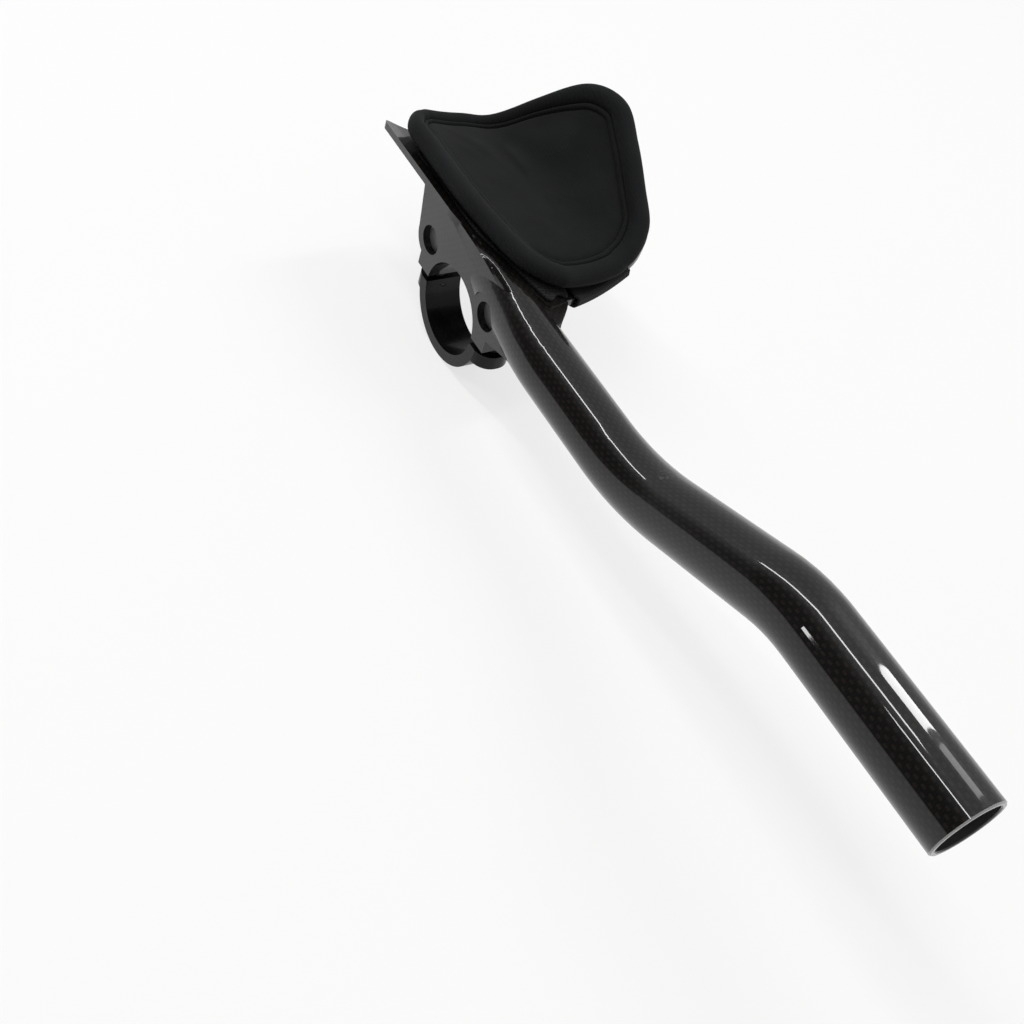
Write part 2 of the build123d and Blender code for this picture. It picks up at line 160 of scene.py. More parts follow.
def carbon_under_lacquer():
    # Carbon-fibre cloth, moulded in epoxy and lacquered: near-black checks, with painted sheen and shade
    # on the tows, deep under a wet gloss that is slightly wavy.
    material, tree = start_material("carbon_weave_clear_lacquer")
    tow = 1.4 * mm
    # An even number of tows goes round the 22.2 mm tube, so that the checks meet.
    tows_round = 50.0
    # Faces that look sideways by more than this are the clamp plate's.
    plate_slope = 0.75
    place = add_node(tree, "ShaderNodeTexCoord").outputs["Object"]
    split = add_node(tree, "ShaderNodeSeparateXYZ", {0: place})
    along, side, up = split.outputs
    # The tube's centre climbs through the S-bend, and the tows run round it.
    centre = add_node(
        tree,
        "ShaderNodeMapRange",
        {
            0: along,
            1: tube_bend[0] * mm,
            2: tube_bend[1] * mm,
            3: tube_heights[0] * mm,
            4: tube_heights[1] * mm,
        },
        interpolation_type="SMOOTHSTEP",
    ).outputs[0]
    off_side = add_node(
        tree, "ShaderNodeMath", {0: side, 1: tube_side * mm}, operation="SUBTRACT"
    ).outputs[0]
    off_up = add_node(tree, "ShaderNodeMath", {0: up, 1: centre}, operation="SUBTRACT").outputs[0]
    turn = add_node(tree, "ShaderNodeMath", {0: off_side, 1: off_up}, operation="ARCTAN2").outputs[0]
    round_tows = add_node(
        tree, "ShaderNodeMath", {0: turn, 1: tows_round / math.tau}, operation="MULTIPLY"
    ).outputs[0]
    flat_tows = add_node(tree, "ShaderNodeMath", {0: side, 1: tow}, operation="DIVIDE").outputs[0]
    plate_tows = add_node(tree, "ShaderNodeMath", {0: up, 1: tow}, operation="DIVIDE").outputs[0]
    normal = add_node(tree, "ShaderNodeNewGeometry").outputs["Normal"]
    normal_side = add_node(tree, "ShaderNodeSeparateXYZ", {0: normal}).outputs[1]
    sideways = add_node(tree, "ShaderNodeMath", {0: normal_side}, operation="ABSOLUTE").outputs[0]
    on_plate = add_node(
        tree, "ShaderNodeMath", {0: sideways, 1: plate_slope}, operation="GREATER_THAN"
    ).outputs[0]
    on_tube = add_node(
        tree, "ShaderNodeMath", {0: along, 1: tube_start * mm}, operation="GREATER_THAN"
    ).outputs[0]
    tray_cross = add_node(
        tree, "ShaderNodeMix", {0: on_plate, 2: flat_tows, 3: plate_tows}, data_type="FLOAT"
    ).outputs[0]
    cross = add_node(
        tree, "ShaderNodeMix", {0: on_tube, 2: tray_cross, 3: round_tows}, data_type="FLOAT"
    ).outputs[0]
    length = add_node(tree, "ShaderNodeMath", {0: along, 1: tow}, operation="DIVIDE").outputs[0]
    # Plain weave: the over tows change places from row to row and from column to column.
    row = add_node(tree, "ShaderNodeMath", {0: cross}, operation="FLOOR").outputs[0]
    column = add_node(tree, "ShaderNodeMath", {0: length}, operation="FLOOR").outputs[0]
    diagonal = add_node(tree, "ShaderNodeMath", {0: row, 1: column}, operation="ADD").outputs[0]
    step = add_node(
        tree, "ShaderNodeMath", {0: diagonal, 1: 2.0}, operation="FLOORED_MODULO"
    ).outputs[0]
    warp_over = add_node(tree, "ShaderNodeMath", {0: step, 1: 0.5}, operation="LESS_THAN").outputs[0]
    in_row = add_node(tree, "ShaderNodeMath", {0: cross}, operation="FRACT").outputs[0]
    in_column = add_node(tree, "ShaderNodeMath", {0: length}, operation="FRACT").outputs[0]
    across = add_node(
        tree, "ShaderNodeMix", {0: warp_over, 2: in_column, 3: in_row}, data_type="FLOAT"
    ).outputs[0]
    centred = add_node(tree, "ShaderNodeMath", {0: across, 1: 0.5}, operation="SUBTRACT").outputs[0]
    edge = add_node(tree, "ShaderNodeMath", {0: centred}, operation="ABSOLUTE").outputs[0]
    # Painted shade and sheen: each tow is painted lighter along its crown and darker at its edges, and
    # warp tows are painted lighter than weft tows, as the sheen that changes with the fibres' direction.
    # The same crown also raises the tows' relief.
    crown = add_node(
        tree, "ShaderNodeMath", {0: edge, 1: -2.0, 2: 1.0}, operation="MULTIPLY_ADD"
    ).outputs[0]
    over = add_node(
        tree, "ShaderNodeMath", {0: warp_over, 1: 0.6, 2: 0.2}, operation="MULTIPLY_ADD"
    ).outputs[0]
    lit = add_node(tree, "ShaderNodeMath", {0: over, 1: crown}, operation="MULTIPLY").outputs[0]
    weave = add_node(
        tree,
        "ShaderNodeMix",
        {0: lit, 6: linear("#060606"), 7: linear("#241e1b")},
        data_type="RGBA",
    ).outputs[2]
    # The sawn end is bare grey laminate, painted a light grey that also stands in for the highlight along
    # its lip, and the bore is unlacquered and dull.
    from_axis = add_node(
        tree, "ShaderNodeMath", {0: off_side, 1: off_side}, operation="MULTIPLY"
    ).outputs[0]
    square = add_node(
        tree, "ShaderNodeMath", {0: off_up, 1: off_up, 2: from_axis}, operation="MULTIPLY_ADD"
    ).outputs[0]
    radius = add_node(tree, "ShaderNodeMath", {0: square}, operation="SQRT").outputs[0]
    in_bore = add_node(
        tree, "ShaderNodeMath", {0: radius, 1: bore_reach * mm}, operation="LESS_THAN"
    ).outputs[0]
    bore = add_node(tree, "ShaderNodeMath", {0: in_bore, 1: on_tube}, operation="MULTIPLY").outputs[0]
    sawn = add_node(
        tree, "ShaderNodeMath", {0: along, 1: sawn_from * mm}, operation="GREATER_THAN"
    ).outputs[0]
    grey_end = add_node(
        tree, "ShaderNodeMix", {0: sawn, 6: weave, 7: linear("#8f8f8e")}, data_type="RGBA"
    ).outputs[2]
    colour = add_node(
        tree, "ShaderNodeMix", {0: bore, 6: grey_end, 7: linear("#343434")}, data_type="RGBA"
    ).outputs[2]
    dull = add_node(tree, "ShaderNodeMath", {0: bore, 1: sawn}, operation="MAXIMUM").outputs[0]
    rough = add_node(tree, "ShaderNodeMix", {0: dull, 2: 0.38, 3: 0.6}, data_type="FLOAT").outputs[0]
    tow_relief = add_node(
        tree, "ShaderNodeBump", {"Strength": 0.12, "Distance": 0.1 * mm, "Height": crown}
    ).outputs[0]
    # The lacquer pools and thins over about 9 mm, so that straight lights look hand-drawn in it.
    pool = 9 * mm
    pools = add_node(
        tree,
        "ShaderNodeTexNoise",
        {"Vector": place, "Scale": 1 / pool, "Detail": 1.0, "Roughness": 0.4},
    ).outputs[0]
    wavy = add_node(
        tree, "ShaderNodeBump", {"Strength": 0.25, "Distance": 0.12 * mm, "Height": pools}
    ).outputs[0]
    shader = add_node(
        tree,
        "ShaderNodeBsdfPrincipled",
        {
            "Base Color": colour,
            "Roughness": rough,
            "IOR": 1.5,
            "Specular IOR Level": 0.12,
            "Normal": tow_relief,
            "Coat Weight": 0.72,
            "Coat Roughness": 0.03,
            "Coat IOR": 1.5,
            "Coat Normal": wavy,
        },
    )
    finish_material(tree, shader)
    return material


def painted_cap():
    # Forged aluminium under gloss black paint: an even dark skin with an orange peel of about 1.4 mm.
    material, tree = start_material("aluminium_gloss_black_paint")
    place = add_node(tree, "ShaderNodeTexCoord").outputs["Object"]
    peel_size, dust_size = 1.4 * mm, 6 * mm
    peel = add_node(
        tree, "ShaderNodeTexNoise", {"Vector": place, "Scale": 1 / peel_size, "Detail": 2.0}
    ).outputs[0]
    dust = add_node(
        tree, "ShaderNodeTexNoise", {"Vector": place, "Scale": 1 / dust_size, "Detail": 4.0}
    ).outputs[0]
    rough = add_node(tree, "ShaderNodeMapRange", {0: dust, 1: 0.3, 2: 0.7, 3: 0.22, 4: 0.34}).outputs[0]
    skin = add_node(
        tree, "ShaderNodeBump", {"Strength": 0.15, "Distance": 0.03 * mm, "Height": peel}
    ).outputs[0]
    shader = add_node(
        tree,
        "ShaderNodeBsdfPrincipled",
        {
            "Base Color": linear("#09090a"),
            "Roughness": rough,
            "IOR": 1.5,
            "Specular IOR Level": 0.15,
            "Normal": skin,
            "Coat Weight": 0.1,
            "Coat Roughness": 0.08,
        },
    )
    finish_material(tree, shader)
    return material


def oxided_steel(name, tone, turned):
    # Turned steel, blackened by hot oxide: a dull grey-black skin, only half metallic. Its tool marks are
    # too fine to show, so they are drawn coarser, turned millimetres apart.
    material, tree = start_material(name)
    place = add_node(tree, "ShaderNodeTexCoord").outputs["Object"]
    marks = add_node(
        tree, "ShaderNodeTexNoise", {"Vector": place, "Scale": 1 / (turned * mm), "Detail": 5.0}
    ).outputs[0]
    rough = add_node(
        tree, "ShaderNodeMapRange", {0: marks, 1: 0.3, 2: 0.7, 3: 0.34, 4: 0.52}
    ).outputs[0]
    relief = add_node(
        tree, "ShaderNodeBump", {"Strength": 0.2, "Distance": 0.02 * mm, "Height": marks}
    ).outputs[0]
    shader = add_node(
        tree,
        "ShaderNodeBsdfPrincipled",
        {"Base Color": linear(tone), "Metallic": 0.4, "Roughness": rough, "Normal": relief},
    )
    finish_material(tree, shader)
    return material


def brushed_knit():
    # Brushed polyester knit: a matt black stretch cloth with tiny wales and a faint bloom at glancing
    # angles.
    material, tree = start_material("polyester_stretch_knit")
    # Wales are about 0.4 mm apart on the real cloth, drawn at 0.8 mm so that they show.
    wale = 0.8 * mm
    place = add_node(tree, "ShaderNodeTexCoord").outputs["Object"]
    wales, courses = (
        add_node(
            tree,
            "ShaderNodeTexWave",
            {"Vector": place, "Scale": wave_scale(wale), "Distortion": 1.5, "Detail": 2.0},
            wave_type="BANDS",
            bands_direction=way,
        ).outputs[1]
        for way in ("X", "Y")
    )
    loops = add_node(tree, "ShaderNodeMath", {0: wales, 1: courses}, operation="MULTIPLY").outputs[0]
    worn_size = 14 * mm
    worn = add_node(
        tree, "ShaderNodeTexNoise", {"Vector": place, "Scale": 1 / worn_size, "Detail": 4.0}
    ).outputs[0]
    # Painted shade: the loop tops are painted lighter than the hollows between them, and the tone also
    # changes at random over about 14 mm.
    lift = add_node(
        tree, "ShaderNodeMath", {0: loops, 1: 0.35, 2: worn}, operation="MULTIPLY_ADD"
    ).outputs[0]
    share = add_node(tree, "ShaderNodeMapRange", {0: lift, 1: 0.3, 2: 1.0, 3: 0.0, 4: 1.0}).outputs[0]
    colour = add_node(
        tree,
        "ShaderNodeMix",
        {0: share, 6: linear("#121314"), 7: linear("#1d1e1f")},
        data_type="RGBA",
    ).outputs[2]
    relief = add_node(
        tree, "ShaderNodeBump", {"Strength": 0.35, "Distance": 0.12 * mm, "Height": loops}
    ).outputs[0]
    shader = add_node(
        tree,
        "ShaderNodeBsdfPrincipled",
        {
            "Base Color": colour,
            "Roughness": 0.9,
            "IOR": 1.45,
            "Specular IOR Level": 0.15,
            "Normal": relief,
            "Sheen Weight": 0.03,
            "Sheen Roughness": 0.5,
        },
    )
    finish_material(tree, shader)
    return material


def black_cloth(name, dark, light, pitch, slant, depth, lay=None):
    # Nylon or polyester, woven or looped: matt black ribs that cross the cloth at a slant, with a fluff
    # of loose fibres. Pitch and depth of the ribs are in millimetres.
    material, tree = start_material(name)
    place = add_node(tree, "ShaderNodeTexCoord").outputs["Object"]
    if lay:
        place = add_node(tree, "ShaderNodeUVMap", uv_map=lay).outputs[0]
    turned = add_node(
        tree, "ShaderNodeMapping", {"Vector": place, "Rotation": (0.0, 0.0, slant)}
    ).outputs[0]
    ribs = add_node(
        tree,
        "ShaderNodeTexWave",
        {"Vector": turned, "Scale": wave_scale(pitch * mm), "Distortion": 0.6, "Detail": 1.0},
        wave_type="BANDS",
        bands_direction="X",
    ).outputs[1]
    fluff_size = 0.9 * mm
    fluff = add_node(
        tree, "ShaderNodeTexNoise", {"Vector": place, "Scale": 1 / fluff_size, "Detail": 3.0}
    ).outputs[0]
    # Painted shade: the rib tops are painted lighter than the grooves between them, and the loose fibres
    # change the tone at random.
    height = add_node(
        tree, "ShaderNodeMath", {0: fluff, 1: 0.5, 2: ribs}, operation="MULTIPLY_ADD"
    ).outputs[0]
    share = add_node(tree, "ShaderNodeMapRange", {0: height, 1: 0.2, 2: 1.4, 3: 0.0, 4: 1.0}).outputs[0]
    colour = add_node(
        tree, "ShaderNodeMix", {0: share, 6: linear(dark), 7: linear(light)}, data_type="RGBA"
    ).outputs[2]
    relief = add_node(
        tree, "ShaderNodeBump", {"Strength": 0.6, "Distance": depth * mm, "Height": height}
    ).outputs[0]
    shader = add_node(
        tree,
        "ShaderNodeBsdfPrincipled",
        {
            "Base Color": colour,
            "Roughness": 0.8,
            "IOR": 1.53,
            "Specular IOR Level": 0.2,
            "Normal": relief,
            "Sheen Weight": 0.04,
        },
    )
    finish_material(tree, shader)
    return material


def studio_paper():
    # Seamless white paper: matt, drawn as white to the camera and in reflections, with the shadow kept.
    material, tree = start_material("seamless_white_paper")
    matt = add_node(tree, "ShaderNodeBsdfDiffuse", {"Color": linear("#e9e9e8")})
    white = add_node(tree, "ShaderNodeEmission", {"Color": linear("#ffffff"), "Strength": 1.0})
    path = add_node(tree, "ShaderNodeLightPath")
    seen = add_node(
        tree,
        "ShaderNodeMath",
        {0: path.outputs["Is Camera Ray"], 1: path.outputs["Is Glossy Ray"]},
        operation="MAXIMUM",
    ).outputs[0]
    seen = add_node(
        tree, "ShaderNodeMath", {0: seen, 1: path.outputs["Is Transmission Ray"]}, operation="MAXIMUM"
    ).outputs[0]
    white_share = 0.72
    share = add_node(tree, "ShaderNodeMath", {0: seen, 1: white_share}, operation="MULTIPLY").outputs[0]
    shader = add_node(tree, "ShaderNodeMixShader", {0: share, 1: matt.outputs[0], 2: white.outputs[0]})
    finish_material(tree, shader)
    return material


# Shapes


def trough_curve(x, y):
    # Curvature of the trough's half on that side, and the valley's height.
    share = (x - tray_rear) / (tray_nose - tray_rear)
    valley = valley_heights[0] + (valley_heights[1] - valley_heights[0]) * share
    rims = outer_heights if y > valley_side else inner_heights
    rim = rims[0] + (rims[1] - rims[0]) * share
    reach = (tray_outer if y > valley_side else tray_inner) - valley_side
    return (rim - valley) / reach**2, valley


def trough_point(x, y, lift):
    # A point on the tray's top face, lifted square to it.
    bend, valley = trough_curve(x, y)
    off = y - valley_side
    slope = 2 * bend * off
    size = math.hypot(1.0, slope)
    return Vector((x, y - lift * slope / size, valley + bend * off * off + lift / size)) * mm


def unrolled(x, y):
    # Distance over the cloth from the valley to that side.
    bend, _ = trough_curve(x, y)
    off = y - valley_side
    slope = 2 * bend * off
    return off / 2 * math.hypot(1.0, slope) + math.asinh(slope) / (4 * bend)


def rolled(x, across):
    # The side that lies that far over the cloth from the valley.
    solve_steps = 12
    bend, _ = trough_curve(x, valley_side + across)
    off = across
    for _ in range(solve_steps):
        slope = 2 * bend * off
        length = off / 2 * math.hypot(1.0, slope) + math.asinh(slope) / (4 * bend)
        off -= (length - across) / math.hypot(1.0, slope)
    return valley_side + off


def smooth_loop(points, count):
    # A closed curve through the points, sampled evenly along its length.
    points = np.array(points)
    fine = []
    total = len(points)
    between = 24
    for place in range(total):
        a, b, c, d = (points[(place + step - 1) % total] for step in range(4))
        for share in np.linspace(0, 1, between, endpoint=False):
            fine.append(
                0.5
                * (
                    2 * b
                    + (c - a) * share
                    + (2 * a - 5 * b + 4 * c - d) * share**2
                    + (3 * b - a - 3 * c + d) * share**3
                )
            )
    fine = np.array(fine + fine[:1])
    run = np.concatenate([[0], np.cumsum(np.linalg.norm(np.diff(fine, axis=0), axis=1))])
    spots = np.linspace(0, run[-1], count, endpoint=False)
    return np.stack([np.interp(spots, run, fine[:, axis]) for axis in (0, 1)], axis=1)


def ease(value):
    # A smooth step from 0 to 1.
    value = min(max(value, 0.0), 1.0)
    return value * value * (3 - 2 * value)


def build_mesh(name, points, faces, material):
    # A smooth-shaded piece that rides on the part.
    mesh = bpy.data.meshes.new(name)
    mesh.from_pydata([tuple(point) for point in points], [], faces)
    mesh.validate()
    for face in mesh.polygons:
        face.use_smooth = True
    piece = bpy.data.objects.new(name, mesh)
    bpy.context.scene.collection.objects.link(piece)
    mesh.materials.append(material)
    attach(piece, "root")
    return piece


def pad_outline(count, inset=0.0):
    # The pad's edge on the unrolled cloth, its directions inward, and the edge drawn in by inset.
    plan = [(x, unrolled(x, inner)) for x, inner, outer in pad_plan]
    plan += [(x, unrolled(x, outer)) for x, inner, outer in reversed(pad_plan)]
    edge = smooth_loop(plan, count)
    ahead = np.roll(edge, -1, axis=0) - np.roll(edge, 1, axis=0)
    inward = np.stack([-ahead[:, 1], ahead[:, 0]], axis=1)
    inward /= np.linalg.norm(inward, axis=1)[:, None]
    if ((edge.mean(axis=0) - edge) * inward).sum() < 0:
        inward = -inward
    return edge, inward, edge + inward * inset


# Sewn edge of the pad: rolled rim, then a narrow ridge between two creases
rim_width = 7.1
ridge_width = 2.2
creases = (rim_width, rim_width + ridge_width)
# Shares of the pad's thickness: sink of the creases, rise of the ridge, height of the panel and what its
# crown adds
crease_sink = 0.38
ridge_rise = 0.19
panel_height = 0.94
crown_rise = 0.05
# Ways in from the edge over which the panel rises from the seam and crowns
panel_rise = 2.2
crown_start, crown_run = 14.0, 16.0
# Slack part of the seam: side on the unrolled cloth, both ends along the tray, fades and share
slack_side = -14.0
slack_ends = (-52.0, 26.0)
side_fade, end_fade = 10.0, 12.0
slack_share = 0.75


def bow(share):
    # A round hump: 0 at both ends of the share, 1 in the middle.
    return math.sqrt(max(0.0, 1 - (2 * share - 1) ** 2))


def pad_top(depth, sewn):
    # Height share of the pad's top at a distance in from its edge.
    crease = 1.0 - crease_sink * sewn
    if depth < rim_width:
        edge = 0.5 if depth < rim_width / 2 else crease
        return edge + (1.0 - edge) * bow(depth / rim_width)
    if depth < creases[1]:
        return crease + ridge_rise * sewn * bow((depth - rim_width) / ridge_width)
    rise = 1.0 - math.exp((creases[1] - depth) / panel_rise)
    crown = crown_rise * ease((depth - crown_start) / crown_run)
    return crease + (panel_height - crease) * rise + crown


def sewn_depth(x, across):
    # The seam is drawn tight at the rear, outer and front edges and is slack along the inner side.
    rear, front = slack_ends
    slack = ease((slack_side - across) / side_fade)
    slack *= ease((x - rear) / end_fade) * ease((front - x) / end_fade)
    return 1.0 - slack_share * slack


# Soft folds of the panel: start and end on the unrolled cloth, width and height
panel_folds = [
    ((-44.0, 12.0), (-14.0, 30.0), 3.4, 1.5),
    ((-40.0, 3.0), (-20.0, 8.0), 3.0, 1.1),
    ((-46.0, -9.0), (-28.0, -5.0), 2.6, 0.9),
    ((-36.0, 22.0), (-16.0, 39.0), 2.8, 0.9),
    ((-50.0, 5.0), (-41.0, 20.0), 1.8, 0.8),
]
# Shares of a fold's length over which it rises and dies away
fold_starts, fold_ends = 0.4, 0.5


def fold_height(x, across):
    # Height of the soft folds at a place on the cloth.
    total = 0.0
    for start, end, width, height in panel_folds:
        run = (end[0] - start[0], end[1] - start[1])
        length = math.hypot(*run)
        along = ((x - start[0]) * run[0] + (across - start[1]) * run[1]) / length
        aside = ((across - start[1]) * run[0] - (x - start[0]) * run[1]) / length
        fade = ease(along / (fold_starts * length)) * ease((length - along) / (fold_ends * length))
        total += height * fade * math.exp(-((aside / width) ** 2))
    return total


# Rings of the pad, as ways in from its edge: close together at the edge and at the seam
ring_depths = [0.0, 0.2, 0.6, 1.2, 2.0, 3.0, 4.0, 4.9, 5.7, 6.3, 6.7, 6.95]
ring_depths += [creases[0], 7.2, 7.5, 7.9, 8.2, 8.5, 8.9, 9.15, creases[1], 9.45, 9.8, 10.4, 11.2]
panel_rings = 17
ring_points = 224
# Along the rear the seam lies nearer to the edge: where that starts, its fade and its share
near_from, near_fade, near_share = -38.0, 14.0, 0.28
# Width of the rounded edge underneath, way past the seam over which folds start, room at the seam
under_round = 3.0
fold_fade = 5.0
seam_room = 0.2
even_passes = 10


def join_rings(order, count, is_under):
    # Rows of faces between rings of count points. Those of the underside face down.
    faces = []
    for first, second in zip(order, order[1:]):
        for place in range(count):
            near, far = place, (place + 1) % count
            if is_under:
                near, far = far, near
            corners = ((first, near), (first, far), (second, far), (second, near))
            faces.append(tuple(ring * count + corner for ring, corner in corners))
    return faces


def sew_pad(material):
    # A closed cushion: rolled rim, sewn double seam and a panel that swells between them.
    count = ring_points
    edge, inward, _ = pad_outline(count)
    centre = edge.mean(axis=0)
    tight = np.array([1.0 - near_share * ease((near_from - x) / near_fade) for x, _ in edge])[:, None]
    rings = [(edge + inward * depth * tight, depth) for depth in ring_depths]
    inner_ring = rings[-1][0]
    reach = np.linalg.norm(inner_ring - centre, axis=1).mean()
    for step in range(1, panel_rings):
        share = step / panel_rings
        ring = inner_ring + (centre - inner_ring) * share
        rings.append((ring, ring_depths[-1] + share * reach))
    low, high = pad_lifts
    points, held, slack = [], [], []

    def put(ring, depth, under):
        for x, across in ring:
            side = rolled(x, across)
            if under:
                rounded = max(0.0, under_round - depth) / under_round
                share = 0.5 - 0.5 * math.sqrt(max(0.0, 1 - rounded**2))
                lift = low + (high - low) * share
            else:
                lift = low + (high - low) * pad_top(depth, sewn_depth(x, across))
                panel = ease((depth - creases[1]) / fold_fade)
                lift += panel * fold_height(x, across)
            points.append(trough_point(x, side, lift))
            sewn_here = rim_width - seam_room <= depth <= creases[1] + seam_room
            held.append(1.0 if under or sewn_here or depth == 0.0 else 0.0)
            slack.append(1.0 if not under and depth < rim_width else 0.0)

    for ring, depth in rings:
        put(ring, depth, False)
    top_rows = len(rings)
    for ring, depth in rings[1:]:
        put(ring, depth, True)
    faces = join_rings(range(top_rows), count, False)
    faces += join_rings([0, *range(top_rows, 2 * top_rows - 1)], count, True)
    # Each side closes with a row of faces across its smallest ring.
    for row, is_under in ((top_rows - 1, False), (2 * top_rows - 2, True)):
        for place in range(count // 2 - 1):
            across = (place, place + 1, count - 2 - place, count - 1 - place)
            quad = tuple(row * count + corner for corner in across)
            faces.append(quad[::-1] if is_under else quad)
    # The foam under the panel evens out its bends.
    panel_start = len(ring_depths)
    grid = np.array(points[: top_rows * count]).reshape(top_rows, count, 3)
    for _ in range(even_passes):
        inner = np.concatenate([grid[1:], grid[-1:, ::-1]])
        beside = np.roll(grid, 1, axis=1) + np.roll(grid, -1, axis=1)
        mean = (beside + np.roll(grid, 1, axis=0) + inner) / 4
        grid[panel_start:] = (grid[panel_start:] + mean[panel_start:]) / 2
    points[: top_rows * count] = list(grid.reshape(-1, 3))
    piece = build_mesh("sewn_forearm_pad", points, faces, material)
    for name, weights in (("sewn_down", held), ("slack", slack)):
        group = piece.vertex_groups.new(name=name)
        for place, weight in enumerate(weights):
            if weight > 0:
                group.add([place], weight, "REPLACE")
    return piece


def swell(piece, cap):
    # Blows the cloth up a little between its seams, and keeps each point within cap of its start.
    frames, passes = 20, 14
    start = np.array([vertex.co[:] for vertex in piece.data.vertices])
    cloth = piece.modifiers.new("swell", "CLOTH")
    cloth.settings.quality = 6
    cloth.settings.mass = 0.15
    cloth.settings.tension_stiffness = 12.0
    cloth.settings.compression_stiffness = 12.0
    cloth.settings.shear_stiffness = 4.0
    cloth.settings.bending_stiffness = 0.8
    cloth.settings.use_pressure = True
    cloth.settings.uniform_pressure_force = 2.0
    cloth.settings.vertex_group_shrink = "slack"
    cloth.settings.shrink_min = 0.0
    cloth.settings.shrink_max = -0.015
    cloth.settings.vertex_group_mass = "sewn_down"
    cloth.settings.pin_stiffness = 1.0
    cloth.settings.effector_weights.gravity = 0.0
    cloth.collision_settings.use_collision = False
    scene = bpy.context.scene
    for step in range(frames):
        scene.frame_set(step + 1)
    solved = piece.evaluated_get(bpy.context.evaluated_depsgraph_get()).to_mesh()
    moved = np.array([vertex.co[:] for vertex in solved.vertices]) - start
    # The foam evens out small creases of the cloth, and the seam stays down.
    loose = np.ones(len(start))
    sewn_down = piece.vertex_groups["sewn_down"].index
    for vertex in piece.data.vertices:
        if any(mark.group == sewn_down for mark in vertex.groups):
            loose[vertex.index] = 0.0
    ends = np.array([edge.vertices[:] for edge in piece.data.edges])
    for _ in range(passes):
        pull = np.zeros_like(moved)
        met = np.zeros(len(moved))
        for near, far in (ends.T, ends.T[::-1]):
            np.add.at(pull, near, moved[far])
            np.add.at(met, near, 1.0)
        moved = (0.5 * moved + 0.5 * pull / met[:, None]) * loose[:, None]
    smallest = 1e-9
    scale = np.minimum(1.0, cap / np.maximum(np.linalg.norm(moved, axis=1), smallest))
    piece.modifiers.remove(cloth)
    for vertex, place in zip(piece.data.vertices, start + moved * scale[:, None]):
        vertex.co = place
    scene.frame_set(1)


def cloth_layer(name, outline, lifts, material, rows=14):
    # A flat cloth layer on the trough, with both faces and a rounded edge, inside an unrolled outline.
    count = len(outline)
    centre = outline.mean(axis=0)
    low, high = lifts
    half = (high - low) / 2
    points, faces = [], []
    # Rounded edge: way in as a share of half the thickness, and share of the height there
    turns = [(0.0, 0.5), (0.35, 0.85), (1.0, 1.0)]
    levels = [(1.0, inset * half, level) for inset, level in turns]
    levels += [(1.0 - step / rows, half, 1.0) for step in range(1, rows)]
    spread = np.linalg.norm(outline - centre, axis=1)[:, None]

    def ring(share, inset, level):
        scaled = centre + (outline - centre) * (share - inset / spread)
        for x, across in scaled:
            points.append(trough_point(x, rolled(x, across), low + (high - low) * level))

    for share, inset, level in levels:
        ring(share, inset, level)
    top_rows = len(levels)
    for share, inset, level in levels[1:]:
        ring(share, inset, 1.0 - level)
    unders = [0, *range(top_rows, 2 * top_rows - 1)]
    for order, is_under in ((range(top_rows), False), (unders, True)):
        faces += join_rings(order, count, is_under)
        middle = tuple(order[-1] * count + place for place in range(count))
        faces.append(middle[::-1] if is_under else middle)
    return build_mesh(name, points, faces, material)


def tray_edge(ends, y):
    # Place along the tray of the straight edge through two points, at that side.
    (near, start), (far, end) = ends
    return start + (end - start) * (y - near) / (far - near)


def strap_run():
    # The strap's path from leg to leg: share of the way from front to rear, distance in from the edge,
    # lift, and how far the selvedges draw in.
    leg_steps, turn_steps, under_steps = 18, 24, 220
    over, under = strap_lifts
    middle, reach = (over + under) / 2, (over - under) / 2
    front = [(inward, over, 0.0) for inward in np.linspace(strap_leg, turn_start, leg_steps)]
    for step in range(1, turn_steps):
        turn = math.pi / 2 - math.pi * step / turn_steps
        past = (strap_past + turn_start) * math.sqrt(abs(math.cos(turn))) - turn_start
        lift = middle + reach * math.copysign(math.sqrt(abs(math.sin(turn))), turn)
        front.append((-past, lift, turn_draw * math.cos(turn)))
    path = [(0.0, *place) for place in front]
    path += [(share, turn_start, under, 0.0) for share in np.linspace(0.0, 1.0, under_steps)]
    path += [(1.0, *place) for place in reversed(front)]
    return path


